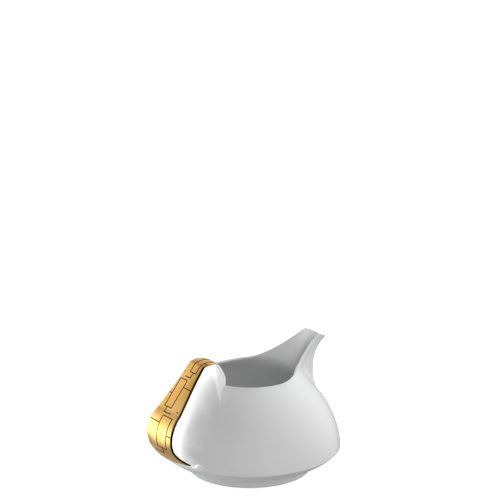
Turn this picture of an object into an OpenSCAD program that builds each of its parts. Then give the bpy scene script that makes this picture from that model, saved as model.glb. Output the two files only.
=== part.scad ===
// Porcelain cream jug: a low domed vessel with a tall beak and a broad, dished handle.
// The origin is in the foot's resting plane, midway between the handle's back and the spout's
// nose. +Z is up, the spout points to +X and the handle to -X, and the two halves mirror each
// other across the XZ plane. The modules draw about the vessel's own axis, centre_x from there.

/* [Vessel] */
// Radius of the vessel at its belly ridge
belly_r = 50; // [48:0.5:52]
// Height of the belly ridge
belly_z = 13.2; // [12:0.1:14]
// Rise of the full dome above the belly ridge
dome_rise = 48.6; // [48:0.1:49.5]
// Height of the plain rim
rim_z = 54; // [53:0.5:55]
// Wall thickness of the vessel
wall = 2.6; // [2.2:0.1:3]
// Wall thickness at the rim
rim_wall = 1.5; // [1.3:0.1:2.2]
// Thickness of the floor
floor_t = 3; // [2.6:0.1:3.6]

/* [Foot] */
// Outer radius of the foot ring
foot_r = 33.6; // [32:0.1:34]
// Height of the foot ring
foot_h = 5; // [4.6:0.1:5.4]
// Width of the foot ring
foot_w = 4.6; // [4:0.1:6]

/* [Spout] */
// Reach of the spout's nose from the axis
nose_x = 49.5; // [48:0.5:51]
// Height of the spout's nose
nose_z = 66; // [65.6:0.2:67]
// Height of the two corners behind the nose
beak_z = 69.9; // [69.3:0.1:70.6]
// Half the width of the spout between those corners
beak_w = 7.4; // [7:0.1:8]
// How far the nose flares out beyond the throat
flare = 11; // [8:0.5:12]

/* [Handle] */
// Height of the handle's crown above the plain rim
arch_h = 8.5; // [8:0.1:9]
// Half the width of the handle at its crown, where it meets the rim
grip_crown_w = 3.4; // [3:0.1:4.4]
// Half the width of the handle at its shoulder
grip_top_w = 7.3; // [6.6:0.1:8]
// Half the width of the handle at its lower bend
grip_low_w = 12.6; // [11:0.1:13]
// Half the width of the handle where it spreads onto the belly ridge
grip_end_w = 20.5; // [18:0.5:22]
// Thickness of the gilded face
gilt_t = 0.4; // [0.3:0.1:0.6]
// Height of the relief lines on the gilded face
relief_h = 0.25; // [0.2:0.05:0.4]
// Width of the relief lines
relief_w = 0.55; // [0.4:0.05:0.8]

/* [Hidden] */

white = [0.94, 0.94, 0.93];
gold = [0.83, 0.62, 0.25];
biscuit = [0.86, 0.84, 0.8];

// Where the vessel's axis stands: the handle reaches back further than the spout reaches out.
centre_x = 4.8;

// The rim seen from above is a circle that runs into the spout at rim_join degrees from +X.
rim_r = 25.2;
rim_join = 62;
join_rise = 0.8;
// Half the angle of the handle's arch in the rim, and the radius of the wall there.
arch_half = 24;
arch_x = 22.4;
// The spout's own piece starts at this step of the rim's side curve, and at cut_z under the nose.
side_steps = 12;
spout_step = 2;
cut_z = 44;
flare_z = 48;
// Clearance between pieces that lie against each other.
gap = 0.05;
root_gap = 0.12;
// Roundness of the blend between the dome and the walls that rise from it.
blend = 4.5;
spout_blend = 3;
// The wall thins to the rim over this height.
thin_from = 14;

// The handle's outline in the XZ plane: four corners, the middle two of them rounded.
grip_path = [[-22.4, 62.5], [-31.4, 70], [-71.6, 19.6], [-50.2, 12.7]];
shoulder_r = 9.5;
bend_r = 18;

dome_power = 1.75;
function dome_r(z) = belly_r * sqrt(max(0, 1 - pow(max(0, z - belly_z) / dome_rise, dome_power)));
function smooth_max(a, b, k) = let (h = max(k - abs(a - b), 0) / k) max(a, b) + h * h * k / 4;
function clamp01(x) = min(1, max(0, x));
function ease(x) = let (c = clamp01(x)) c * c * (3 - 2 * c);
function bezier(p, t) =
    pow(1 - t, 3) * p[0] + 3 * t * pow(1 - t, 2) * p[1] + 3 * t * t * (1 - t) * p[2] + pow(t, 3) * p[3];

// ---- The rim, as a list of [angle, radius, height, flare] from the handle round to the nose.

arch_power = 1.85;
function arch(a) = arch_h * (1 - pow(min(1, (180 - a) / arch_half), arch_power));
side_curve = [[rim_r * cos(rim_join), rim_r * sin(rim_join), rim_z + join_rise],
              [20.2, 17.6, rim_z + 1],
              [30.8, beak_w + 1.2, beak_z - 7],
              [42.5, beak_w, beak_z]];
nose_curve = [[42.5, beak_w, beak_z],
              [46.4, beak_w - 0.4, beak_z - 0.8],
              [nose_x, 0.55 * beak_w, nose_z],
              [nose_x, 0, nose_z]];
function column(p) =
    let (a = atan2(p[1], p[0]))
    [a, norm([p[0], p[1]]), p[2], flare * pow(max(0, 1 - a / 36), 2)];
function plain_z(a) = rim_z + (a < 90 ? join_rise * pow(cos(a) / cos(rim_join), 2) : arch(a));

half_rim = [
    for (a = [180:-4:156]) [a, arch_x / cos(180 - a), plain_z(a), 0],
    for (a = [152:-6:rim_join + 1]) [a, rim_r, plain_z(a), 0],
    for (i = [0:side_steps - 1]) column(bezier(side_curve, i / side_steps)),
    for (i = [0:6]) column(bezier(nose_curve, i / 6))
];
spout_half = column(bezier(side_curve, spout_step / side_steps))[0];

rim = concat(half_rim,
             [for (i = [len(half_rim) - 2:-1:1]) let (c = half_rim[i]) [-c[0], c[1], c[2], c[3]]]);

// Outer radius of the wall in one column of the rim, at height z.
function wall_r(c, z) =
    smooth_max(dome_r(z), c[1] - c[3] * (1 - pow(clamp01((z - flare_z) / (c[2] - flare_z)), 3)),
               blend + spout_blend * ease((3 * cos(c[0]) - 1) / 2));
function thickness(c, z) = wall - (wall - rim_wall) * ease(1 - (c[2] - z) / thin_from);
function lip_rise(c) = rim_wall * (180 - abs(c[0]) < arch_half ? 0.2 : 0.4);
function wall_point(c, z) = let (r = wall_r(c, z)) [r * cos(c[0]), r * sin(c[0]), z];
function in_spout(c) = abs(c[0]) < spout_half + 0.01;
function seam_z(c) =
    in_spout(c) ? min(c[2] - 0.4, cut_z + (rim_z + 1.5 - cut_z) * pow(c[0] / spout_half, 2)) : c[2];

// Surface normal at a column and a height, from its neighbours.
function normal_at(i, z) =
    let (n = len(rim), d = 0.2,
         a = wall_point(rim[(i + n - 1) % n], min(z, rim[(i + n - 1) % n][2])),
         b = wall_point(rim[(i + 1) % n], min(z, rim[(i + 1) % n][2])),
         low = wall_point(rim[i], z - d),
         high = wall_point(rim[i], z),
         v = cross(high - low, b - a))
    v / norm(v);

// ---- A closed skin through rings of points that all have the same count.

function ring_faces(rows, n) = [
    for (j = [0:rows - 2], i = [0:n - 1])
        let (a = j * n + i, b = j * n + (i + 1) % n)
        for (f = [[a, a + n, b], [b, a + n, b + n]]) f
];
// End caps join a ring's first half to its second half. When tip is 1, the ring's first and
// middle points belong to both halves.
function strip_cap(base, n, tip, flip) = [
    for (i = [0:n / 2 - 2 + tip])
        let (a = i, b = i + 1, c = (n - 1 + tip - i) % n, d = n - 2 + tip - i)
        for (f = a == c ? [[a, b, d]] : b == d ? [[a, b, c]] : [[a, b, c], [b, d, c]])
            [for (k = flip ? [2, 1, 0] : [0, 1, 2]) base + f[k]]
];
function flat_cap(base, n, flip) = [[for (i = [0:n - 1]) base + (flip ? n - 1 - i : i)]];
module skin(rings, flat = false, tip = 0) {
    n = len(rings[0]);
    last = (len(rings) - 1) * n;
    caps = flat ? concat(flat_cap(0, n, false), flat_cap(last, n, true))
                : concat(strip_cap(0, n, tip, false), strip_cap(last, n, tip, true));
    polyhedron([for (r = rings) each r], concat(ring_faces(len(rings), n), caps), convexity = 8);
}

// ---- Vessel: floor, underside and wall, as rings from the floor up, over the rim and down inside.

foot_top_r = foot_r + 2;
under_curve = [[foot_top_r, foot_h], [39.2, 4.6], [belly_r, 11.9], [belly_r, belly_z]];
floor_z = foot_h + floor_t;
inner_r = belly_r - wall;
inner_under = [[30, floor_z], [37, floor_z], [inner_r, 12], [inner_r, belly_z + 1.5]];
function turned(p) = [for (c = rim) [p[0] * cos(c[0]), p[0] * sin(c[0]), p[1]]];
function level(c, t) = belly_z + (seam_z(c) - belly_z) * t;
function outer_ring(t) = [for (c = rim) wall_point(c, level(c, t))];
function inner_point(i, z) = wall_point(rim[i], z) - thickness(rim[i], z) * normal_at(i, z);
function inner_ring(t) =
    [for (i = [0:len(rim) - 1]) let (z = level(rim[i], t)) inner_point(i, z)];
function lip_ring(s) = [
    for (i = [0:len(rim) - 1])
        let (c = rim[i], z = seam_z(c), p = wall_point(c, z), q = inner_point(i, z),
             up = p - wall_point(c, z - 0.3))
        (p + q) / 2 + (p - q) / 2 * cos(s) + up / norm(up) * (z < c[2] ? 0 : lip_rise(c)) * sin(s)
];

module vessel() {
    color(white)
        skin([for (i = [0:6]) turned(bezier(inner_under, i / 6)),
              for (i = [1:16]) inner_ring(i / 16),
              for (s = [135, 90, 45]) lip_ring(s),
              for (i = [16:-1:0]) outer_ring(i / 16),
              for (i = [5:-1:0]) turned(bezier(under_curve, i / 6))], flat = true);
}

// ---- Spout: the beak above the vessel's seam, as one closed section per column.

function spout_section(i) =
    let (c = rim[i], low = seam_z(c) + gap, n = 12,
         zs = [for (j = [0:n]) low + (c[2] - low) * j / n],
         p = wall_point(c, c[2]), q = inner_point(i, c[2]), up = p - wall_point(c, c[2] - 0.3))
    concat([for (z = zs) wall_point(c, z)],
           [for (s = [36:36:144])
               (p + q) / 2 + (p - q) / 2 * cos(s) + up / norm(up) * lip_rise(c) * sin(s)],
           [for (j = [n:-1:0]) inner_point(i, zs[j])]);

module spout() {
    color(white)
        skin([for (i = [0:len(rim) - 1]) if (in_spout(rim[i])) spout_section(i)]);
}

// ---- Handle: sections that fan out from the vessel's wall to the grip's outline.

function unit(v) = v / norm(v);
function turn_angle(a, b, c) = acos(unit(b - a) * unit(c - b));
cut_1 = shoulder_r * tan(turn_angle(grip_path[0], grip_path[1], grip_path[2]) / 2);
cut_2 = bend_r * tan(turn_angle(grip_path[1], grip_path[2], grip_path[3]) / 2);
run = [norm(grip_path[1] - grip_path[0]) - cut_1,
       shoulder_r * turn_angle(grip_path[0], grip_path[1], grip_path[2]) * PI / 180,
       norm(grip_path[2] - grip_path[1]) - cut_1 - cut_2,
       bend_r * turn_angle(grip_path[1], grip_path[2], grip_path[3]) * PI / 180,
       norm(grip_path[3] - grip_path[2]) - cut_2];
grip_len = run[0] + run[1] + run[2] + run[3] + run[4];
heading_0 = unit(grip_path[1] - grip_path[0]);

function rotated(v, a) = [v[0] * cos(a) - v[1] * sin(a), v[0] * sin(a) + v[1] * cos(a)];
// Point and heading of the grip's outline at distance s from the crown.
function straight(p, h, s) = [p + h * s, h];
function bent(p, h, r, s) =
    let (a = s / r * 180 / PI, centre = p + r * rotated(h, 90))
    [centre + rotated(p - centre, a), rotated(h, a)];
function outline(s) =
    let (a = straight(grip_path[0], heading_0, run[0]),
         b = bent(a[0], a[1], shoulder_r, run[1]),
         c = straight(b[0], b[1], run[2]),
         d = bent(c[0], c[1], bend_r, run[3]))
    s < run[0] ? straight(grip_path[0], heading_0, s)
    : s < run[0] + run[1] ? bent(a[0], a[1], shoulder_r, s - run[0])
    : s < run[0] + run[1] + run[2] ? straight(b[0], b[1], s - run[0] - run[1])
    : s < grip_len - run[4] ? bent(c[0], c[1], bend_r, s - run[0] - run[1] - run[2])
    : straight(d[0], d[1], s - grip_len + run[4]);

function grip_w(t) = grip_crown_w + (grip_top_w - grip_crown_w) * ease(t / 0.16)
                     + (grip_low_w - grip_top_w) * ease((t - 0.2) / 0.6)
                     + (grip_end_w - grip_low_w) * pow(clamp01((t - 0.86) / 0.14), 2);
// Root of the handle on the vessel's wall: its angle from -X and its height.
root_top_z = 52.6;
root_low_z = 15.6;
function root_angle(t) = arch_half + (35 - arch_half) * ease(t / 0.2) - 8 * ease((t - 0.7) / 0.3);
function root_z(t) = root_top_z + (root_low_z - root_top_z) * (0.85 * t + 0.15 * ease(t));
// Wall of the vessel behind the handle, where the arch narrows the rim.
function back_r(a, z) = smooth_max(dome_r(z), arch_x / cos(min(a, arch_half)), blend) + root_gap;
function back_point(a, z) = let (r = back_r(abs(a), z)) [-r * cos(a), -r * sin(a), z];
// Moves a point of the handle's side out of the wall, where it would dip into it.
function outside(p) =
    let (a = atan2(-p[1], -p[0]),
         r = smooth_max(norm([p[0], p[1]]), back_r(abs(a), max(p[2], belly_z)), 0.6))
    [-r * cos(a), -r * sin(a), p[2]];

// The face of the grip: across = -1 at the near edge, 1 at the far edge, lifted along its normal.
// It lies hollow against the belly at its lower end.
face_crown = 0.5;
function plain_face(s, across, lift) =
    let (t = s / grip_len, o = outline(s), out = [o[1][1], -o[1][0]], y = across * grip_w(t),
         crown = face_crown * (2 - ease(t / 0.12)),
         p = o[0] + out * (lift - crown * across * across),
         sag = (belly_r - sqrt(belly_r * belly_r - y * y)) * ease((t - 0.8) / 0.2))
    [p[0] + sag, y, p[1]];
// Near the crown the face and the sides draw together onto the arch in the rim.
function on_arch(y) = [-arch_x, y, rim_z + arch(180 - atan2(abs(y), arch_x))];
function drawn(t, p, start) = p + (1 - ease(t / 0.15)) * (on_arch(start[1]) - start);
function face_point(s, across, lift) =
    outside(drawn(s / grip_len, plain_face(s, across, lift), plain_face(0, across, 0)));

function plain_side(t, k) =
    let (s = t * grip_len, inward = rotated(outline(s)[1], 90),
         lip = plain_face(s, -1, -gilt_t),
         root = back_point(root_angle(t), root_z(t)),
         reach = norm(lip - root),
         a = root_angle(t),
         rise = 1 - ease(t / 0.15),
         slope = -0.2 + 1.02 * ease((t - 0.45) / 0.3),
         p1 = root + 0.28 * reach * unit([-sin(a) * (1 - rise), cos(a) - 0.5 * rise, 0.9 * rise]),
         p2 = lip + 0.52 * reach * unit([inward[0], slope, inward[1]]))
    bezier([root, p1, p2, lip], k);
function side_point(t, k) =
    k == 0 ? plain_side(t, 0) : outside(drawn(t, plain_side(t, k), plain_side(0, k)));
function flipped(p) = [p[0], -p[1], p[2]];

face_steps = 8;
// The handle's back bows down at the crown and up at the belly, so that both its ends keep some depth.
back_bulge = 2.5;
function handle_ring(t) =
    let (m = 10, side = [for (k = [0:m - 1]) side_point(t, k / m)],
         face = [for (j = [0:face_steps]) face_point(t * grip_len, -1 + 2 * j / face_steps, -gilt_t)],
         n = 2 * m + face_steps + 1, a = root_angle(t))
    concat(side, face, [for (k = [m - 1:-1:0]) flipped(side[k])],
           [for (i = [n - 2:-1:1])
               back_point(a - 2 * a * i / (n - 1),
                          root_z(t) + back_bulge * (2 * t - 1) * sin(180 * i / (n - 1)))]);

module handle() {
    color(white)
        skin([for (i = [0:36]) handle_ring(i / 36)], tip = 1);
}

// ---- Gilded band: a thin face over the grip, from just behind the crown to the belly.

band_start = 1.2;
band_end = grip_len - 3.5;
function band_section(s) = concat(
    [for (j = [0:face_steps]) face_point(s, 0.97 * (-1 + 2 * j / face_steps), 0)],
    [for (j = [face_steps:-1:0]) face_point(s, 0.97 * (-1 + 2 * j / face_steps), gap - gilt_t)]);

module gilded_band() {
    color(gold)
        skin([for (i = [0:48]) band_section(band_start + (band_end - band_start) * i / 48)]);
}

// ---- Relief: raised lines on the gilded face, as staggered frames with ticks at either edge.

function densified(p, step) = [
    for (i = [0:len(p) - 2]) let (m = ceil(norm(p[i + 1] - p[i]) / step))
        for (k = [0:m - 1]) p[i] + (p[i + 1] - p[i]) * k / m,
    p[len(p) - 1]
];
// The section of a line at point i of its path.
function line_section(p, i) =
    let (d0 = unit(p[max(i, 1)] - p[max(i, 1) - 1]), j = min(i, len(p) - 2), d1 = unit(p[j + 1] - p[j]),
         side = rotated(unit(d0 + d1), 90) * relief_w / 2 / max(0.5, unit(d0 + d1) * d1),
         l = p[i] + side, r = p[i] - side)
    [for (q = [[r, gap], [r, relief_h], [l, relief_h], [l, gap]])
        face_point(q[0][0], q[0][1] / grip_w(q[0][0] / grip_len), q[1])];
module relief_line(p) {
    q = densified(p, 1.5);
    skin([for (i = [0:len(q) - 1]) line_section(q, i)]);
}
relief_first = 5;
relief_pitch = 22;
frame_len = 17;
relief_count = floor((0.93 * grip_len - relief_first - frame_len) / relief_pitch) + 1;
module band_relief() {
    free = relief_w;
    color(gold)
        for (i = [0:relief_count - 1]) {
            s = relief_first + i * relief_pitch;
            end = s + frame_len;
            stem = end + 0.62 * (relief_pitch - frame_len);
            turn = i % 2 == 0 ? -1 : 1;
            w = 0.92 * grip_w((s + frame_len / 2) / grip_len);
            near = -0.12 * w;
            far = 0.62 * w;
            for (line = [
                    [[s, near + 2 * free], [s, far], [end, far], [end, near], [s, near]],
                    [[s + 0.25 * frame_len, near - free], [s + 0.25 * frame_len, -0.94 * w]],
                    [[s + 0.55 * frame_len, far + free], [s + 0.55 * frame_len, 0.94 * w]],
                    [[end + free, 0.3 * w], [stem, 0.3 * w], [stem, -0.45 * w]],
                    [[stem - 2.4, -0.94 * w], [stem - 2.4, -0.72 * w]]])
                relief_line([for (p = line) [p[0], turn * p[1]]]);
        }
}

// ---- Foot ring, ground flat underneath.

module foot_ring() {
    ease_r = 0.6;
    color(biscuit)
        rotate_extrude($fn = 96)
            polygon([[foot_r - foot_w, foot_h - gap], [foot_r - foot_w, ease_r],
                     [foot_r - foot_w + ease_r, 0], [foot_r - ease_r, 0], [foot_r, ease_r],
                     [foot_top_r, foot_h - gap]]);
}

module placed() {
    translate([centre_x, 0, 0]) children();
}

placed() vessel();
placed() spout();
placed() handle();
placed() gilded_band();
placed() band_relief();
placed() foot_ring();
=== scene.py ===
"""Porcelain cream jug: the looks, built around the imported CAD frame.

Lengths inside the shape functions are in millimetres about the vessel's own axis, as a potter's
drawing would give them. piece() moves them to the frame's place and turns them into metres.
The spout points along +X, the handle along -X, and the XZ plane is the jug's mirror plane.
"""
import math

import bpy
import numpy as np
from mathutils import Matrix, Vector


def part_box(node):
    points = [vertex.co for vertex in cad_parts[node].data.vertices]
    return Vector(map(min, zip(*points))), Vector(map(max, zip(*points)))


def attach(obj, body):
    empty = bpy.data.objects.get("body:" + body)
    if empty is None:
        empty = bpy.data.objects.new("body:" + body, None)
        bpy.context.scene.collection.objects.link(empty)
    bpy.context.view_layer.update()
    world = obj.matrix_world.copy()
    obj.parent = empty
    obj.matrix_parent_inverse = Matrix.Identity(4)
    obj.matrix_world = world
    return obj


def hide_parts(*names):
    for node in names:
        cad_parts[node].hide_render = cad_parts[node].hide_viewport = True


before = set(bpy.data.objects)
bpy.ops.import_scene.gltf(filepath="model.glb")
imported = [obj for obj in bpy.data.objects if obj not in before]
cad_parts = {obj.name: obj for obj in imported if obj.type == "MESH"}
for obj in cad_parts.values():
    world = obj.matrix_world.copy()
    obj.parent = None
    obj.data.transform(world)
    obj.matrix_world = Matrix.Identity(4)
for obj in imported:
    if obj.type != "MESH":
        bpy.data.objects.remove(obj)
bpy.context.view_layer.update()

MM = 0.001

# ---- Driving dimensions: the first ones are measured on the frame, the others are the design's.

vessel_low, vessel_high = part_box("vessel")
foot_low, foot_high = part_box("foot_ring")

AXIS_X = (vessel_low.x + vessel_high.x) / 2 / MM
BELLY_R = (vessel_high.y - vessel_low.y) / 2 / MM
FOOT_TOP_R = (foot_high.y - foot_low.y) / 2 / MM
UNDER_Z = vessel_low.z / MM

# The wall: a dome over the belly ridge, thinner towards the rim.
BELLY_Z = 13.2
DOME_RISE = 48.6
DOME_POWER = 1.75
RIM_Z = 54.0
RIM_R = 25.2
WALL = 2.6
RIM_WALL = 1.5
THIN_FROM = 14.0
FLOOR_T = 3.0
FLOOR_R = 30.0
FLOOR_SLOPE_R = 37.0
FLOOR_BEND_Z = 12.0
FLOOR_JOIN_Z = BELLY_Z + 1.5
UNDER_BEND = (39.2, 4.6)
UNDER_BEND_Z = 11.9
HUB_R = 2.0
WALL_BLEND = 4.5
SPOUT_BLEND = 3.0

# The foot ring.
FOOT_SPREAD = 2.0
FOOT_R = FOOT_TOP_R - FOOT_SPREAD
FOOT_W = 4.6
FOOT_SOFT = 0.7

# The rim: where its circle runs into the spout, in degrees from +X, and the arch over the handle.
RIM_JOIN = 62.0
JOIN_RISE = 0.8
ARCH_HALF = 24.0
ARCH_X = 22.4
ARCH_H = 8.5
ARCH_POWER = 1.85
ARCH_LIP = 0.19 * RIM_WALL
PLAIN_LIP = 0.38 * RIM_WALL
SIDE_STEPS = 48
NOSE_STEPS = 24
WALL_ROWS = 60

# The spout: its nose, the corners of the beak behind it, its flare and the seam to the vessel.
NOSE_X = 49.5
NOSE_Z = 66.0
BEAK_X = 42.5
BEAK_Z = 69.9
BEAK_W = 7.4
JOIN_PULL = (20.2, 17.6, RIM_Z + 1)
BEAK_PULL = (30.8, BEAK_W + 1.2, BEAK_Z - 7)
BEAK_PUSH = (46.4, BEAK_W - 0.4, BEAK_Z - 0.8)
NOSE_PULL = (NOSE_X, 0.55 * BEAK_W, NOSE_Z)
FLARE = 11.0
FLARE_ANGLE = 36.0
FLARE_Z = 48.0
CUT_Z = 44.0
SEAM_TOP_Z = RIM_Z + 1.5
SEAM_BELOW_RIM = 0.4
SPOUT_START = 1 / 6
SPOUT_ROWS = 40

# The handle: the corners of its outline in the XZ plane, the middle two rounded, and its half widths.
GRIP_PATH = np.array([(-22.4, 62.5), (-31.4, 70.0), (-71.0, 19.4), (-50.2, 12.7)])
SHOULDER_R = 9.5
BEND_R = 18.0
EDGE_R = 1.5
CROWN_W = 3.4
SHOULDER_W = 7.3
BEND_W = 12.6
END_W = 20.5
FACE_CROWN = 0.5
DRAWN_TO = 0.15

# The handle's root on the wall: heights, angles from the handle's middle in degrees, and clearance.
ROOT_TOP_Z = 52.6
ROOT_LOW_Z = 15.6
ROOT_WIDE = 35.0
ROOT_NARROWS = 8.0
ROOT_GAP = 0.03
ROOT_SOFT = 0.6
ROOT_PULL = 0.28
LIP_PULL = 0.52

# The gilding: its share of the grip's length, how far it rolls over the edges, and the skins' levels.
BAND_START = 0.03
BAND_END = 0.985
BAND_ARC = math.radians(58)
BAND_ROUND = 0.04
END_ROUND = 0.004
SIDE_ROUND = 0.015
GILT_SKIN = 0.18
PORCELAIN_LIFT = -0.15

# The raised lines: one frame of the pattern is FRAME_LEN long and they repeat every FRAME_PITCH.
RELIEF_H = 0.20
RELIEF_W = 0.65
RELIEF_SUNK = 0.03
FRAME_FIRST = 5.0
FRAME_PITCH = 22.0
FRAME_LEN = 17.0
FRAME_SHARE = 0.92
FRAME_NEAR = -0.12
FRAME_FAR = 0.62
TICK_END = 0.98
TICK_BACK = 2.4
STEM_SHARE = 0.62
PATTERN_END = 0.93

# The studio. Soft panels in the world: azimuth and elevation in degrees, radiance, and how fast
# each falls off around its own direction.
PANELS = [("right_back", 355, 12, 0.75, 6.0),
          ("back", 55, 12, 0.60, 6.0),
          ("high_front_right", 300, 50, 0.35, 6.0),
          ("high_back_right", 25, 48, 0.70, 6.0),
          ("left_back", 118, 24, 0.72, 6.0),
          ("glow", 122, -6, 2.8, 18.0),
          ("low_right", 355, -28, 0.45, 6.0),
          ("low_back", 85, -40, 0.50, 6.0)]

# Area lights: place and size in metres, power in watts. They aim at the middle of the jug.
LIGHTS = [("front", (-1.15, -1.60, 0.60), (1.6, 1.2), 10.0),
          ("high_front", (-0.10, -1.35, 1.50), (1.4, 1.0), 10.0),
          ("right_front", (1.30, -1.40, 0.45), (1.2, 1.0), 12.0),
          ("high_back", (0.90, 1.00, 1.60), (1.4, 1.0), 15.0),
          ("under_left", (-0.60, -0.20, -0.55), (0.5, 0.4), 2.6)]
MIDDLE = (AXIS_X * MM, 0, 0.03)

# The light for the handle's porcelain alone.
SIDE_PLACE = (0.225, -0.35, -0.20)
SIDE_AIM = (-0.045, 0, 0.03)
SIDE_SIZE = (0.25, 0.20)
SIDE_POWER = 8.0

# The stage's floor, in metres, just under the foot ring.
STAGE_R = 40.0
STAGE_Z = -0.00002

# The camera: degrees turned from the jug's side and raised, metres from the foot, and the focal
# length and the image's shifts as shares of the picture's width.
CAMERA_TURN = 35
CAMERA_RAISE = 21
CAMERA_AWAY = 1.0556
CAMERA_FOCAL = 3.8
SHIFT_RIGHT = -0.0010
SHIFT_UP = 0.4316
SENSOR_MM = 36.0


# ---- Small helpers.

def ease(x):
    """0 below 0, 1 above 1, and a smooth step between."""
    c = np.clip(x, 0, 1)
    return c * c * (3 - 2 * c)


def smooth_max(a, b, k):
    h = np.maximum(k - np.abs(a - b), 0) / k
    return np.maximum(a, b) + h * h * k / 4


def bezier(p, t):
    """Points of a cubic Bezier at the parameters t; p holds four points, or four arrays of points."""
    t = np.asarray(t)[..., None]
    return ((1 - t) ** 3 * p[0] + 3 * t * (1 - t) ** 2 * p[1]
            + 3 * t * t * (1 - t) * p[2] + t ** 3 * p[3])


def unit(v):
    return v / np.maximum(np.linalg.norm(v, axis=-1, keepdims=True), 1e-12)


def polar(radius, angle, z):
    return np.stack([radius * np.cos(angle), radius * np.sin(angle), z + 0 * radius * angle], -1)


def mirrored(p):
    return p * np.array([1, -1, 1])


# ---- Meshes.

def grid_faces(rows, cols, closed=False):
    """Quads between the rows of a grid of points, closed round the columns or open."""
    last = cols if closed else cols - 1
    j, i = np.meshgrid(np.arange(rows - 1), np.arange(last), indexing="ij")
    a, b = j * cols + i, j * cols + (i + 1) % cols
    return np.stack([a, b, b + cols, a + cols], -1).reshape(-1, 4)


def own(points):
    """Marks points that keep the mesh's own normals."""
    return np.full(points.shape, np.nan)


def piece(name, parts, material, node):
    """One mesh from parts of (points, faces, normals or None), riding on the root body for a CAD node."""
    points, faces, normals, base = [], [], [], 0
    for p, f, n in parts:
        p = p.reshape(-1, 3)
        points.append(p)
        normals.append(own(p) if n is None else n.reshape(-1, 3))
        faces += [[base + k for k in face] for face in f]
        base += len(p)
    points = (np.concatenate(points) + np.array([AXIS_X, 0, 0])) * MM
    normals = np.concatenate(normals)
    mesh = bpy.data.meshes.new(name)
    mesh.from_pydata(points.tolist(), [], faces)
    mesh.validate()
    mesh.shade_smooth()
    mesh.update()
    smooth = np.zeros(len(mesh.vertices) * 3)
    mesh.vertices.foreach_get("normal", smooth)
    smooth = smooth.reshape(-1, 3)
    given = ~np.isnan(normals[:, 0])
    smooth[given] = normals[given]
    if given.any():
        mesh.normals_split_custom_set_from_vertices(smooth.tolist())
    mesh.materials.append(material)
    obj = bpy.data.objects.new(name, mesh)
    bpy.context.scene.collection.objects.link(obj)
    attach(obj, "root")
    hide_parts(node)
    return obj


# ---- The vessel's wall, shared by the vessel and the spout.

def dome_r(z):
    return BELLY_R * np.sqrt(np.maximum(0, 1 - (np.maximum(0, z - BELLY_Z) / DOME_RISE) ** DOME_POWER))


def arch_rise(angle_from_back):
    return ARCH_H * (1 - np.minimum(1, np.abs(angle_from_back) / ARCH_HALF) ** ARCH_POWER)


def rim_columns():
    """The rim from the nose round to the handle's middle and back: angle, radius, height and flare."""
    join = math.radians(RIM_JOIN)
    corner = (BEAK_X, BEAK_W, BEAK_Z)
    side = np.array([(RIM_R * math.cos(join), RIM_R * math.sin(join), RIM_Z + JOIN_RISE),
                     JOIN_PULL, BEAK_PULL, corner])
    nose = np.array([corner, BEAK_PUSH, NOSE_PULL, (NOSE_X, 0, NOSE_Z)])
    curve = np.concatenate([bezier(side, np.arange(0, SIDE_STEPS) / SIDE_STEPS),
                            bezier(nose, np.arange(0, NOSE_STEPS + 1) / NOSE_STEPS)])
    curve_angle = np.degrees(np.arctan2(curve[:, 1], curve[:, 0]))
    arch = np.arange(180, 180 - ARCH_HALF - 0.01, -1.5)
    plain = np.arange(180 - ARCH_HALF - 2, RIM_JOIN + 0.5, -2)
    rise = JOIN_RISE * (np.cos(np.radians(plain)) / math.cos(join)) ** 2
    arch_r = ARCH_X / np.cos(np.radians(180 - arch))
    flare = FLARE * np.maximum(0, 1 - curve_angle / FLARE_ANGLE) ** 2
    rows = [np.stack([arch, arch_r, RIM_Z + arch_rise(180 - arch), 0 * arch], -1),
            np.stack([plain, RIM_R + 0 * plain, RIM_Z + np.where(plain < 90, rise, 0), 0 * plain], -1),
            np.stack([curve_angle, np.hypot(curve[:, 0], curve[:, 1]), curve[:, 2], flare], -1)]
    half = np.concatenate(rows)
    back = half[1:-1][::-1] * np.array([-1, 1, 1, 1])
    rim = np.concatenate([half, back])
    rim[:, 0] = np.radians(rim[:, 0])
    return rim


def with_seams(rim):
    """The rim with its two seam columns doubled, and which columns belong to the spout."""
    join = np.argmin(np.abs(rim[:, 0] - math.radians(RIM_JOIN)))
    first = join + int(SIDE_STEPS * SPOUT_START)
    last = np.argmin(np.abs(rim[:, 0] + rim[first, 0]))
    rim = np.concatenate([rim[:first + 1], rim[first:last + 1], rim[last:]])
    inside = np.zeros(len(rim), bool)
    inside[first + 1:last + 2] = True
    return rim, inside, rim[first, 0]


RIM, IN_SPOUT, SPOUT_HALF = with_seams(rim_columns())
TOP = RIM[:, 2]
SEAM_CURVE = CUT_Z + (SEAM_TOP_Z - CUT_Z) * (RIM[:, 0] / SPOUT_HALF) ** 2
SEAM = np.where(IN_SPOUT, np.minimum(TOP - SEAM_BELOW_RIM, SEAM_CURVE), TOP)


def wall_point(z, shift=0):
    """Points of the outer wall at the heights z, one column of z for each column of the rim."""
    rim = np.roll(RIM, -shift, axis=0)
    z = np.minimum(z, rim[:, 2])
    lean = 1 - np.clip((z - FLARE_Z) / (rim[:, 2] - FLARE_Z), 0, 1) ** 3
    blend = WALL_BLEND + SPOUT_BLEND * ease((3 * np.cos(rim[:, 0]) - 1) / 2)
    r = smooth_max(dome_r(z), rim[:, 1] - rim[:, 3] * lean, blend)
    return polar(r, rim[:, 0], z)


def thickness(z):
    """The wall grows thinner towards the rim."""
    return (WALL - (WALL - RIM_WALL) * ease(1 - (TOP - z) / THIN_FROM))[..., None]


def wall_normal(z):
    across = wall_point(z, 1) - wall_point(z, -1)
    return unit(np.cross(wall_point(z) - wall_point(z - 0.2), across))


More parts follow.
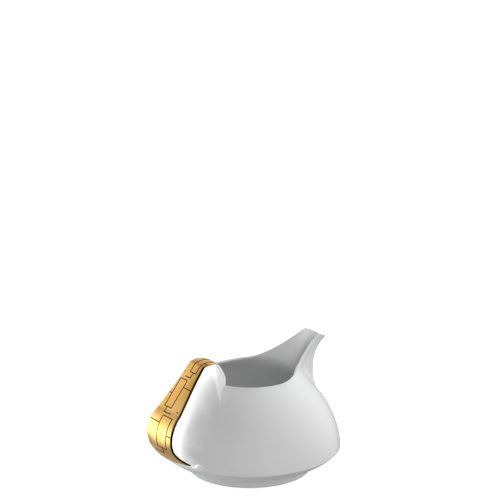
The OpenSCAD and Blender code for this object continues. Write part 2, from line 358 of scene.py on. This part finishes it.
def lip(z, rise, count=9):
    """Rows of points over the top of the wall, from its outer to its inner face."""
    outer = wall_point(z)
    inner = outer - thickness(z) * wall_normal(z)
    up = unit(outer - wall_point(z - 0.3))
    s = np.linspace(0, math.pi, count + 2)[1:-1, None, None]
    return (outer + inner) / 2 + (outer - inner) / 2 * np.cos(s) + up * rise[:, None] * np.sin(s)


def grid_normals(grid):
    """Normals of a grid whose columns close round, from the points beside each point."""
    across = np.roll(grid, -1, 1) - np.roll(grid, 1, 1)
    return unit(np.cross(np.gradient(grid, axis=0), across))


FULL_LIP = lip(TOP, np.where(np.abs(RIM[:, 0]) > math.radians(180 - ARCH_HALF), ARCH_LIP, PLAIN_LIP))
LIP_ENDS = wall_point(TOP), wall_point(TOP) - RIM_WALL * wall_normal(TOP)
FULL_LIP_NORMALS = grid_normals(np.concatenate([LIP_ENDS[:1], FULL_LIP, LIP_ENDS[1:]]))[1:-1]


# ---- The six pieces.

def fan(ring, centre):
    """Triangles from a closed ring of point numbers to a centre point."""
    return [[centre, ring[i], ring[(i + 1) % len(ring)]] for i in range(len(ring))]


def turned(profile):
    """A lathe profile of (radius, z) rows, at the rim's columns."""
    return polar(profile[:, :1], RIM[:, 0][None, :], profile[:, 1:])


def levels(low, high, count):
    """Heights from low to high, one row of them for each step."""
    return low + (high - low) * np.linspace(0, 1, count)[:, None]


def build_vessel(material):
    """The cast body, wound from its underside over the wall and the lip to the floor inside."""
    steps = np.linspace(0, 1, 15)[:-1]
    under = bezier(np.array([(FOOT_TOP_R, UNDER_Z), UNDER_BEND, (BELLY_R, UNDER_BEND_Z),
                             (BELLY_R, BELLY_Z)]), steps)
    flat_r = np.linspace(HUB_R, FOOT_TOP_R, 12)[:-1]
    flat_under = np.stack([flat_r, UNDER_Z + 0 * flat_r], -1)
    floor_z = UNDER_Z + FLOOR_T
    inner_r = BELLY_R - WALL
    bowl = bezier(np.array([(FLOOR_R, floor_z), (FLOOR_SLOPE_R, floor_z), (inner_r, FLOOR_BEND_Z),
                            (inner_r, FLOOR_JOIN_Z)]), steps)
    floor_r = np.linspace(FLOOR_R, HUB_R, 12)[1:]
    floor = np.stack([floor_r, floor_z + 0 * floor_r], -1)
    outer_z = levels(BELLY_Z + 0 * TOP, SEAM, WALL_ROWS)
    inner_z = levels(FLOOR_JOIN_Z + 0 * TOP, SEAM, WALL_ROWS)[::-1]
    seam_wall = lip(SEAM, 0 * TOP)
    edge = np.where(IN_SPOUT[:, None], seam_wall, FULL_LIP)
    edge_normals = np.where(IN_SPOUT[:, None], np.nan, FULL_LIP_NORMALS)
    inner_normals = wall_normal(inner_z)
    inner = wall_point(inner_z) - thickness(inner_z) * inner_normals
    rows = [turned(flat_under), turned(under), wall_point(outer_z), edge, inner,
            turned(bowl[::-1]), turned(floor)]
    normals = [own(rows[0]), own(rows[1]), wall_normal(outer_z), edge_normals, -inner_normals,
               own(rows[5]), own(rows[6])]
    grid, normals = np.concatenate(rows), np.concatenate(normals)
    count, around = grid.shape[:2]
    centres = np.array([(0, 0, UNDER_Z), (0, 0, floor_z)])
    points = np.concatenate([grid.reshape(-1, 3), centres])
    normals = np.concatenate([normals.reshape(-1, 3), own(centres)])
    first, last = list(range(around)), [(count - 1) * around + i for i in range(around)]
    faces = grid_faces(count, around, closed=True)[:, ::-1].tolist()
    faces += fan(first, len(points) - 2) + fan(last[::-1], len(points) - 1)
    return piece("vessel_body", [(points, faces, normals)], material, "vessel")


def build_spout(material):
    """The pouring lip, a closed strip of wall over the seam."""
    z = levels(SEAM, TOP, SPOUT_ROWS)
    outer, n = wall_point(z), wall_normal(z)
    inner = outer - thickness(z) * n
    loop = np.concatenate([outer, FULL_LIP, inner[::-1]])[:, IN_SPOUT]
    normals = np.concatenate([n, FULL_LIP_NORMALS, -n[::-1]])[:, IN_SPOUT]
    count, across = loop.shape[:2]
    grid, grid_n = loop.transpose(1, 0, 2), normals.transpose(1, 0, 2)
    faces = grid_faces(across, count, closed=True).tolist()
    rows = len(z)
    for column, flip in ((0, True), (across - 1, False)):
        base = column * count
        cap = [[base + j, base + j + 1, base + count - 2 - j, base + count - 1 - j]
               for j in range(rows - 1)]
        cap.append([base + j for j in range(rows - 1, count - rows + 1)])
        faces += [f[::-1] if flip else f for f in cap]
    return piece("spout_beak", [(grid, faces, grid_n)], material, "spout")


def path_runs():
    """The grip's outline as runs of (length, curvature), and its first heading angle."""
    legs = np.diff(GRIP_PATH, axis=0)
    angles = np.unwrap(np.arctan2(legs[:, 1], legs[:, 0]))
    lengths = np.hypot(legs[:, 0], legs[:, 1])
    turns = np.diff(angles)
    cut = np.array([SHOULDER_R, BEND_R]) * np.tan(turns / 2)
    runs = [(lengths[0] - cut[0], 0), (SHOULDER_R * turns[0], 1 / SHOULDER_R),
            (lengths[1] - cut.sum(), 0), (BEND_R * turns[1], 1 / BEND_R), (lengths[2] - cut[1], 0)]
    return runs, angles[0]


RUNS, FIRST_HEADING = path_runs()
GRIP_LEN = sum(length for length, curvature in RUNS)


def outline(t):
    """Point and heading of the grip's outline in the XZ plane, t from 0 at the crown to 1."""
    s = np.asarray(t, float) * GRIP_LEN
    x, z = GRIP_PATH[0, 0] + 0 * s, GRIP_PATH[0, 1] + 0 * s
    heading, start = FIRST_HEADING + 0 * s, 0.0
    for length, curvature in RUNS:
        d = np.clip(s - start, 0, length)
        turned_to = heading + curvature * d
        if curvature:
            x = x + (np.sin(turned_to) - np.sin(heading)) / curvature
            z = z - (np.cos(turned_to) - np.cos(heading)) / curvature
        else:
            x, z = x + d * np.cos(heading), z + d * np.sin(heading)
        heading, start = turned_to, start + length
    return x, z, heading


def grip_w(t):
    """Half the grip's width: narrow at the crown, wide at the bend, spread out on the belly ridge."""
    return (CROWN_W + (SHOULDER_W - CROWN_W) * ease(t / 0.16)
            + (BEND_W - SHOULDER_W) * ease((t - 0.2) / 0.6)
            + (END_W - BEND_W) * np.clip((t - 0.86) / 0.14, 0, 1) ** 2)


def edge_r(t):
    """Radius of the rounding along the grip's edges."""
    return EDGE_R * (0.5 + 0.5 * ease(t / 0.12))


def half_across(t):
    """Length of the grip's face from its middle to the end of its rounded edge."""
    return grip_w(t) + (math.pi / 2 - 1) * edge_r(t)


def on_arch(y):
    """The point of the rim's arch at y."""
    angle = np.degrees(np.arctan2(np.abs(y), ARCH_X))
    return np.stack([-ARCH_X + 0 * y, y, RIM_Z + arch_rise(angle)], -1)


def grip_point(t, u, lift):
    """The grip's outer surface before it is drawn onto the arch."""
    x, z, heading = outline(t)
    w, r = grip_w(t), edge_r(t)
    v = np.abs(u) * half_across(t)
    a = np.maximum(v - (w - r), 0) / r
    y = np.minimum(v, w - r) + (r + lift) * np.sin(a)
    crown = FACE_CROWN * (2 - ease(t / 0.12))
    rise = (r + lift) * np.cos(a) - r - crown * (y / w) ** 2
    sag = (BELLY_R - np.sqrt(BELLY_R ** 2 - y ** 2)) * ease((t - 0.8) / 0.2)
    return np.stack([x + np.sin(heading) * rise + sag, np.sign(u) * y, z - np.cos(heading) * rise], -1)


def drawn(t, p, start):
    """Draws a point of the handle onto the arch near the crown, as its first section is drawn."""
    return p + (1 - ease(t / DRAWN_TO))[..., None] * (on_arch(start[..., 1]) - start)


def grip_surface(t, u, lift=0.0):
    """The grip's outer surface, u from -1 to 1 between its rounded edges, lifted along its normal."""
    t, u, lift = np.broadcast_arrays(np.asarray(t, float), u, lift)
    start = grip_point(0 * t, u, 0 * t)
    return outside(drawn(t, grip_point(t, u, lift), start))


def root_angle(t):
    return ARCH_HALF + (ROOT_WIDE - ARCH_HALF) * ease(t / 0.2) - ROOT_NARROWS * ease((t - 0.7) / 0.3)


def root_z(t):
    return ROOT_TOP_Z + (ROOT_LOW_Z - ROOT_TOP_Z) * (0.85 * t + 0.15 * ease(t))


def back_r(angle, z):
    """Radius of the vessel's wall behind the handle, where the arch narrows the rim."""
    plane = ARCH_X / np.cos(np.radians(np.minimum(np.abs(angle), ARCH_HALF)))
    return smooth_max(dome_r(z), plane, WALL_BLEND) + ROOT_GAP


def back_point(angle, z):
    """A point on the vessel's wall behind the handle, angle in degrees from the handle's middle."""
    r = back_r(angle, z)
    return np.stack([-r * np.cos(np.radians(angle)), -r * np.sin(np.radians(angle)), z], -1)


def back_normal(angle, z):
    """Normal of the vessel's wall behind the handle."""
    around = back_point(angle + 0.5, z) - back_point(angle - 0.5, z)
    return unit(np.cross(around, back_point(angle, z + 0.1) - back_point(angle, z - 0.1)))


def outside(p):
    """Moves points of the handle out of the vessel's wall where they would dip into it."""
    angle = np.arctan2(-p[..., 1], -p[..., 0])
    wall = back_r(np.degrees(angle), np.maximum(p[..., 2], BELLY_Z))
    r = smooth_max(np.hypot(p[..., 0], p[..., 1]), wall, ROOT_SOFT)
    return np.stack([-r * np.cos(angle), -r * np.sin(angle), p[..., 2]], -1)


def side_curve(t, k):
    """The handle's near side, from its root on the wall (k = 0) to the end of the grip's edge (k = 1)."""
    heading = outline(t)[2]
    lip_end = grip_point(t, -1.0 + 0 * t, PORCELAIN_LIFT + 0 * t)
    a = np.radians(root_angle(t))
    root = back_point(root_angle(t), root_z(t))
    reach = np.linalg.norm(lip_end - root, axis=-1)[..., None]
    rise = 1 - ease(t / DRAWN_TO)
    slope = -0.20 + 1.02 * ease((t - 0.45) / 0.3)
    leave = unit(np.stack([-np.sin(a) * (1 - rise), np.cos(a) - 0.5 * rise, 0.9 * rise], -1))
    arrive = unit(np.stack([-np.sin(heading), slope, np.cos(heading)], -1))
    low, high = root + ROOT_PULL * reach * leave, lip_end + LIP_PULL * reach * arrive
    return bezier([root, low, high, lip_end], k)


def side_surface(t, k):
    """The handle's near side, drawn onto the arch at the crown and kept out of the vessel's wall."""
    p = outside(drawn(t, side_curve(t, k), side_curve(0 * t, k)))
    return np.where((k > 0)[..., None], p, side_curve(t, 0 * k))


def build_handle(material):
    """The broad handle: its near side, its face and its far side, closed along the vessel's wall."""
    t = np.linspace(0, 1, 181)[:, None]
    k = np.linspace(0, 1, 49)[None, :-1]
    u = np.sin(np.linspace(-1, 1, 61) * math.pi / 2)[None, :]
    tt, kk = np.broadcast_arrays(t, k)
    near = side_surface(tt, kk)
    face = grip_surface(t, u, PORCELAIN_LIFT)
    front = np.concatenate([near, face, mirrored(near[:, ::-1])], 1)
    count = front.shape[1]
    swing = np.linspace(1, -1, count)[None, :]
    back = back_point(root_angle(t) * swing, root_z(t) + 0 * swing)
    ring = np.concatenate([front, back[:, -2:0:-1]], 1)
    rows, around = ring.shape[:2]
    normals = own(ring)
    root_normals = back_normal(root_angle(t), root_z(t))[:, 0]
    normals[:, 0], normals[:, count - 1] = root_normals, mirrored(root_normals)
    faces = grid_faces(rows, around, closed=True).tolist()
    for row, flip in ((0, True), (rows - 1, False)):
        base = row * around
        partner = [0] + [around - i for i in range(1, count - 1)] + [count - 1]
        cap = [[base + i, base + i + 1, base + partner[i + 1], base + partner[i]]
               for i in range(count - 1)]
        cap = [list(dict.fromkeys(f)) for f in cap]
        faces += [f[::-1] if flip else f for f in cap]
    return piece("handle_body", [(ring, faces, normals)], material, "handle")


def band_edge(t):
    """How far the gilding reaches across, as a share of the grip's half face: round at the crown."""
    full = (grip_w(t) + (BAND_ARC - 1) * edge_r(t)) / half_across(t)
    c = np.clip((t - BAND_START) / BAND_ROUND, 0, 1)
    return full * np.sqrt(c * (2 - c))


def build_band(material):
    """The gold skin, which dips into the porcelain along its edges and at its ends."""
    t = BAND_START + (BAND_END - BAND_START) * np.linspace(0, 1, 201) ** 1.3
    t = t[:, None]
    q = np.sin(np.linspace(-1, 1, 61) * math.pi / 2)[None, :]
    across = np.maximum(np.abs(q) - (1 - SIDE_ROUND), 0) / SIDE_ROUND
    from_middle = np.abs(2 * t - BAND_START - BAND_END)
    along = np.maximum(from_middle - (BAND_END - BAND_START - END_ROUND), 0) / END_ROUND
    sides = np.sqrt(np.clip(1 - across ** 2, 0, 1))
    ends = np.sqrt(np.clip(1 - along ** 2, 0, 1))
    u = q * band_edge(t)
    top = grip_surface(t, u, -GILT_SKIN + GILT_SKIN * sides * ends)
    bottom = grip_surface(t, u, -GILT_SKIN - 0.02)
    ring = np.concatenate([top, bottom[:, ::-1]], 1)
    rows, around = ring.shape[:2]
    faces = grid_faces(rows, around, closed=True).tolist()
    half = around // 2
    for row, flip in ((0, True), (rows - 1, False)):
        base = row * around
        cap = [[base + i, base + i + 1, base + around - 2 - i, base + around - 1 - i]
               for i in range(half - 1)]
        faces += [f[::-1] if flip else f for f in cap]
    return piece("gilded_face", [(ring, faces, None)], material, "gilded_band")


def relief_line(path):
    """A raised line with a round back along a path of (s, v): along and across the grip, in mm."""
    path = np.array(path, float)
    steps = [np.linspace(a, b, max(2, int(np.hypot(*(b - a)) / 0.4)), endpoint=False)
             for a, b in zip(path[:-1], path[1:])]
    p = np.concatenate(steps + [path[-1:]])
    d = unit(np.diff(p, axis=0))
    before, after = np.concatenate([d[:1], d]), np.concatenate([d, d[-1:]])
    mean = unit(before + after)
    side = np.stack([-mean[:, 1], mean[:, 0]], -1) / np.maximum(0.5, (mean * after).sum(1))[:, None]
    along = np.concatenate([[0], np.cumsum(np.hypot(*np.diff(p, axis=0).T))])
    to_end = np.minimum(along, along[-1] - along)
    taper = np.sqrt(np.clip(1 - (1 - np.minimum(1, to_end / (RELIEF_W / 2))) ** 2, 0.02, 1))
    a = np.linspace(0, math.pi, 9)
    spread = np.cos(a)[None, :] * taper[:, None] * RELIEF_W / 2
    height = np.sin(a)[None, :] * taper[:, None] * RELIEF_H
    s = p[:, :1] + side[:, :1] * spread
    v = p[:, 1:] + side[:, 1:] * spread
    t = s / GRIP_LEN
    skin = grip_surface(t, v / half_across(t), height - RELIEF_SUNK)
    rows, around = skin.shape[:2]
    faces = grid_faces(rows, around, closed=True)[:, ::-1].tolist()
    faces += [list(range(around)), [(rows - 1) * around + i for i in range(around)][::-1]]
    return skin, faces, None


def relief_paths():
    """Staggered long rectangles down the face, joined by stems, with ticks at either edge."""
    paths = []
    count = int((PATTERN_END * GRIP_LEN - FRAME_FIRST - FRAME_LEN) / FRAME_PITCH) + 1
    for i in range(count):
        s = FRAME_FIRST + i * FRAME_PITCH
        end = s + FRAME_LEN
        w = FRAME_SHARE * grip_w((s + FRAME_LEN / 2) / GRIP_LEN) * (1 if i % 2 else -1)
        near, far, edge = FRAME_NEAR * w, FRAME_FAR * w, TICK_END * w
        paths.append([(s, near), (s, far), (end, far), (end, near), (s, near)])
        paths.append([(s + 0.25 * FRAME_LEN, near), (s + 0.25 * FRAME_LEN, -edge)])
        paths.append([(s + 0.55 * FRAME_LEN, far), (s + 0.55 * FRAME_LEN, edge)])
        stem = end + STEM_SHARE * (FRAME_PITCH - FRAME_LEN)
        paths.append([(end, 0.3 * w), (stem, 0.3 * w), (stem, -0.45 * w)])
        paths.append([(stem - TICK_BACK, -edge), (stem - TICK_BACK, -0.72 * w)])
    return paths


def build_relief(material):
    """All the raised lines as one piece."""
    lines = [relief_line(path) for path in relief_paths()]
    return piece("relief_lines", lines, material, "band_relief")


def build_foot(material):
    """The foot ring, turned from its profile."""
    inner_r, soft = FOOT_R - FOOT_W, FOOT_SOFT
    corner = np.linspace(0, math.pi / 2, 7)[1:]
    left = [(inner_r + soft - soft * math.cos(a), soft - soft * math.sin(a)) for a in corner]
    right = [(FOOT_R - soft + soft * math.sin(a), soft - soft * math.cos(a)) for a in corner]
    height = foot_high.z / MM
    low = [(inner_r - 0.4, height), (inner_r, height * 0.6), (inner_r, soft)]
    high = [(FOOT_R + 0.5, height * 0.45), (FOOT_TOP_R - 0.6, height * 0.8), (FOOT_TOP_R, height)]
    profile = np.array(low + left + [(FOOT_R - FOOT_W / 2, 0)] + right + high)
    angle = np.linspace(0, 2 * math.pi, 192, endpoint=False)
    ring = polar(profile[:, :1], angle[None, :], profile[:, 1:])
    rows, around = ring.shape[:2]
    faces = grid_faces(rows, around, closed=True).tolist()
    top = [[(rows - 1) * around + i, (rows - 1) * around + (i + 1) % around, (i + 1) % around, i]
           for i in range(around)]
    return piece("foot_ring_turned", [(ring, faces + top, None)], material,
                 "foot_ring")


# ---- Materials, all procedural, in object coordinates.

class Nodes:
    """A small helper that adds nodes to one material and joins them."""

    def __init__(self, name):
        self.material = bpy.data.materials.new(name)
        self.material.use_nodes = True
        self.tree = self.material.node_tree
        self.shader = self.tree.nodes["Principled BSDF"]
        self.where = self.add("ShaderNodeTexCoord").outputs["Object"]

    def add(self, kind, **values):
        node = self.tree.nodes.new(kind)
        for key, value in values.items():
            if hasattr(node, key):
                setattr(node, key, value)
            else:
                node.inputs[key.replace("_", " ")].default_value = value
        return node

    def join(self, source, target):
        self.tree.links.new(source, target)

    def noise(self, scale, detail=2.0, stretch=(1, 1, 1)):
        scaled = self.add("ShaderNodeMapping")
        scaled.inputs["Scale"].default_value = stretch
        self.join(self.where, scaled.inputs["Vector"])
        texture = self.add("ShaderNodeTexNoise", Scale=scale, Detail=detail)
        self.join(scaled.outputs["Vector"], texture.inputs["Vector"])
        return texture.outputs["Fac"]

    def ramp(self, source, stops):
        ramp = self.add("ShaderNodeValToRGB")
        elements = ramp.color_ramp.elements
        while len(elements) < len(stops):
            elements.new(0.5)
        for element, (place, colour) in zip(elements, stops):
            element.position = place
            element.color = (*colour, 1) if len(colour) == 3 else (colour[0],) * 3 + (1,)
        self.join(source, ramp.inputs["Fac"])
        return ramp.outputs["Color"]

    def bump(self, source, strength, distance, under=None):
        bump = self.add("ShaderNodeBump", Strength=strength, Distance=distance)
        self.join(source, bump.inputs["Height"])
        if under is not None:
            self.join(under, bump.inputs["Normal"])
        return bump.outputs["Normal"]

    def uniform(self, **values):
        for key, value in values.items():
            self.shader.inputs[key.replace("_", " ")].default_value = value


def glaze():
    """Clear glaze over white porcelain: a hard gloss with the faintest waves and pin marks."""
    n = Nodes("glazed_porcelain_look")
    n.join(n.ramp(n.noise(28, 3), [(0.3, (0.800, 0.803, 0.806)), (0.7, (0.822, 0.823, 0.822))]),
           n.shader.inputs["Base Color"])
    n.join(n.ramp(n.noise(60, 4), [(0.3, (0.075,)), (0.75, (0.115,))]), n.shader.inputs["Roughness"])
    waves = n.bump(n.noise(45, 1), 0.12, 0.0002)
    n.join(n.bump(n.noise(2600, 2), 0.02, 0.00002, waves), n.shader.inputs["Normal"])
    n.uniform(IOR=1.52, Coat_Weight=0.25, Coat_Roughness=0.03)
    return n.material


def gilding():
    """Polished gold lustre: warm and cool drifts, brush streaks along the handle, softer spots."""
    n = Nodes("gilding_look")
    drift = n.ramp(n.noise(90, 4), [(0.3, (0.80, 0.43, 0.10)), (0.5, (0.86, 0.50, 0.14)),
                                    (0.72, (0.90, 0.58, 0.21))])
    n.join(drift, n.shader.inputs["Base Color"])
    n.join(n.ramp(n.noise(240, 5), [(0.25, (0.10,)), (0.8, (0.21,))]), n.shader.inputs["Roughness"])
    streaks = n.bump(n.noise(900, 3, (0.25, 1.6, 0.25)), 0.10, 0.00005)
    n.join(n.bump(n.noise(160, 2), 0.10, 0.0002, streaks), n.shader.inputs["Normal"])
    n.uniform(Metallic=1.0)
    return n.material


def relief_gold_painted_shade():
    """The raised lines: duller gold with painted shade, a near-black base colour varying at random so
    that the lines read dark.
    """
    n = Nodes("gilding_relief_painted_shade_look")
    # Painted shade: the near-black base colour darkens the raised lines as if they lay in shade.
    n.join(n.ramp(n.noise(500, 4), [(0.35, (0.05, 0.026, 0.008)), (0.7, (0.16, 0.085, 0.025))]),
           n.shader.inputs["Base Color"])
    n.join(n.ramp(n.noise(900, 3), [(0.3, (0.22,)), (0.7, (0.42,))]), n.shader.inputs["Roughness"])
    n.join(n.bump(n.noise(1500, 3), 0.2, 0.00004), n.shader.inputs["Normal"])
    n.uniform(Metallic=1.0)
    return n.material


def foot_look():
    """Glaze down the ring's side, and matt, slightly grey biscuit where the ring is ground."""
    n = Nodes("foot_ring_look")
    height = n.add("ShaderNodeSeparateXYZ")
    n.join(n.where, height.inputs["Vector"])
    glazed = n.add("ShaderNodeMapRange")
    n.join(height.outputs["Z"], glazed.inputs["Value"])
    for key, value in (("From Min", 0.0005), ("From Max", 0.0009)):
        glazed.inputs[key].default_value = value
    n.join(n.ramp(glazed.outputs["Result"], [(0, (0.66, 0.63, 0.58)), (1, (0.81, 0.813, 0.815))]),
           n.shader.inputs["Base Color"])
    n.join(n.ramp(glazed.outputs["Result"], [(0, (0.75,)), (1, (0.10,))]), n.shader.inputs["Roughness"])
    n.join(n.bump(n.noise(1800, 5), 0.25, 0.00003), n.shader.inputs["Normal"])
    n.uniform(IOR=1.52)
    return n.material


porcelain = glaze()
build_vessel(porcelain)
build_spout(porcelain)
build_handle(porcelain)
build_band(gilding())
build_relief(relief_gold_painted_shade())
build_foot(foot_look())


# ---- Stage, light and camera.

def build_floor():
    """A plain pale floor. It is seen and takes the jug's shadow, and neither lights nor shades it."""
    angle = np.linspace(0, 2 * math.pi, 96, endpoint=False)
    ring = np.stack([STAGE_R * np.cos(angle), STAGE_R * np.sin(angle), 0 * angle + STAGE_Z], -1)
    mesh = bpy.data.meshes.new("floor")
    mesh.from_pydata(ring.tolist(), [], [list(range(len(ring)))])
    n = Nodes("floor_look")
    n.join(n.ramp(n.noise(3, 2), [(0.3, (0.93, 0.93, 0.93)), (0.7, (0.95, 0.95, 0.95))]),
           n.shader.inputs["Base Color"])
    n.uniform(Roughness=0.9, Emission_Color=(1, 1, 1, 1), Emission_Strength=0.62,
              Specular_IOR_Level=0.0)
    mesh.materials.append(n.material)
    floor = bpy.data.objects.new("floor", mesh)
    bpy.context.scene.collection.objects.link(floor)
    floor.visible_diffuse = False
    floor.visible_glossy = False
    floor.visible_shadow = False
    return floor


def softbox(name, place, aim, size, power):
    """An area light that doesn't show in reflections."""
    light = bpy.data.lights.new(name, "AREA")
    light.shape = "RECTANGLE"
    light.size, light.size_y = size
    light.energy = power
    obj = bpy.data.objects.new(name, light)
    obj.location = place
    direction = np.array(aim) - np.array(place)
    obj.rotation_euler = Vector(direction).to_track_quat("-Z", "Y").to_euler()
    obj.visible_glossy = False
    bpy.context.scene.collection.objects.link(obj)
    return obj


def build_world():
    """A dark room with soft panels of light, each falling off around its own direction."""
    world = bpy.data.worlds.new("studio")
    world.use_nodes = True
    tree = world.node_tree
    direction = tree.nodes.new("ShaderNodeTexCoord").outputs["Generated"]

    def math_node(operation, first, second):
        node = tree.nodes.new("ShaderNodeMath")
        node.operation = operation
        for socket, value in zip(node.inputs, (first, second)):
            if isinstance(value, float):
                socket.default_value = value
            else:
                tree.links.new(value, socket)
        return node.outputs[0]

    total = None
    for name, azimuth, elevation, radiance, fall in PANELS:
        a, e = math.radians(azimuth), math.radians(elevation)
        toward = tree.nodes.new("ShaderNodeVectorMath")
        toward.name = name
        toward.operation = "DOT_PRODUCT"
        toward.inputs[1].default_value = (math.cos(a) * math.cos(e), math.sin(a) * math.cos(e),
                                          math.sin(e))
        tree.links.new(direction, toward.inputs[0])
        facing = math_node("MAXIMUM", toward.outputs["Value"], 0.0)
        panel = math_node("MULTIPLY", math_node("POWER", facing, fall), radiance)
        total = panel if total is None else math_node("ADD", total, panel)
    tree.links.new(total, tree.nodes["Background"].inputs["Strength"])
    tree.nodes["Background"].inputs["Color"].default_value = (1, 1, 1, 1)
    bpy.context.scene.world = world


def build_light():
    """The room, the area lights, and one light that falls on the handle's porcelain alone."""
    build_world()
    for name, place, size, power in LIGHTS:
        softbox(name, place, MIDDLE, size, power)
    side = softbox("handle_side", SIDE_PLACE, SIDE_AIM, SIDE_SIZE, SIDE_POWER)
    only = bpy.data.collections.new("handle_side_receivers")
    only.objects.link(bpy.data.objects["handle_body"])
    side.light_linking.receiver_collection = only


def build_camera():
    """The photo's camera, looking down on the jug with the handle turned towards it."""
    turn, raise_ = math.radians(CAMERA_TURN), math.radians(CAMERA_RAISE)
    foot = np.array([AXIS_X * MM, 0, 0])
    back = np.array([-math.sin(turn) * math.cos(raise_), -math.cos(turn) * math.cos(raise_),
                     math.sin(raise_)])
    right = np.array([math.cos(turn), -math.sin(turn), 0])
    forward, up = -back, np.cross(right, -back)
    yaw = math.atan2(SHIFT_RIGHT, CAMERA_FOCAL)
    pitch = math.atan2(SHIFT_UP, CAMERA_FOCAL)
    forward, right = (forward * math.cos(yaw) - right * math.sin(yaw),
                      right * math.cos(yaw) + forward * math.sin(yaw))
    forward, up = (forward * math.cos(pitch) + up * math.sin(pitch),
                   up * math.cos(pitch) - forward * math.sin(pitch))
    camera = bpy.data.cameras.new("camera")
    camera.sensor_width = SENSOR_MM
    camera.lens = SENSOR_MM * CAMERA_FOCAL
    camera.clip_end = 200.0
    obj = bpy.data.objects.new("camera", camera)
    columns = np.stack([right, up, -forward], 1)
    matrix = np.eye(4)
    matrix[:3, :3] = columns
    matrix[:3, 3] = foot + back * CAMERA_AWAY
    obj.matrix_world = Matrix(matrix.tolist())
    bpy.context.scene.collection.objects.link(obj)
    bpy.context.scene.camera = obj


build_floor()
build_light()
build_camera()
bpy.context.scene.view_settings.view_transform = "Standard"
